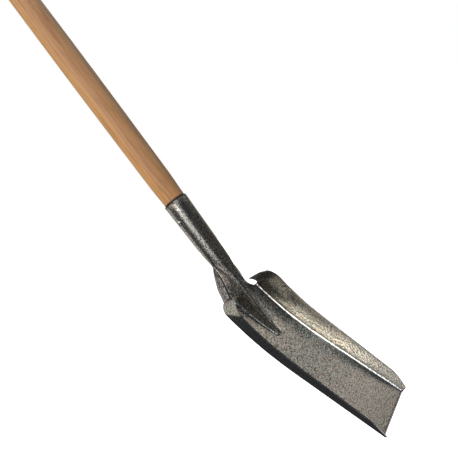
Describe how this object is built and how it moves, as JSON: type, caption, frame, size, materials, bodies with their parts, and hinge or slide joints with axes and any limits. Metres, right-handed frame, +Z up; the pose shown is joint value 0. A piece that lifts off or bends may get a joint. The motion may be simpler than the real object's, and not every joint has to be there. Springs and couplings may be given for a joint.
{
  "type": "trenching shovel",
  "caption": "Narrow trenching shovel: a pressed steel blade with tall side walls, rolled shoulders and a raised ridge, riveted by its rolled socket to a long straight wooden handle.",
  "frame": {"origin": "on the handle's axis, 280 mm below its top, where the clip of a tool rack grips it", "axes": "+Z up along the handle, towards its free end; -Y towards the open side of the blade, which the user faces away from; +X to the side"},
  "size_m": [0.1224, 0.1617, 1.5804],
  "materials": {
    "hammered_paint": "grey hammered paint on pressed steel, half gloss",
    "ash": "ash turned smooth, thin satin lacquer",
    "painted_rivet": "steel rivet under the same grey paint, polished where it is touched"
  },
  "bodies": {
    "root": {"head": "hammered_paint", "handle": "ash", "rivet": "painted_rivet"}
  },
  "joints": []
}
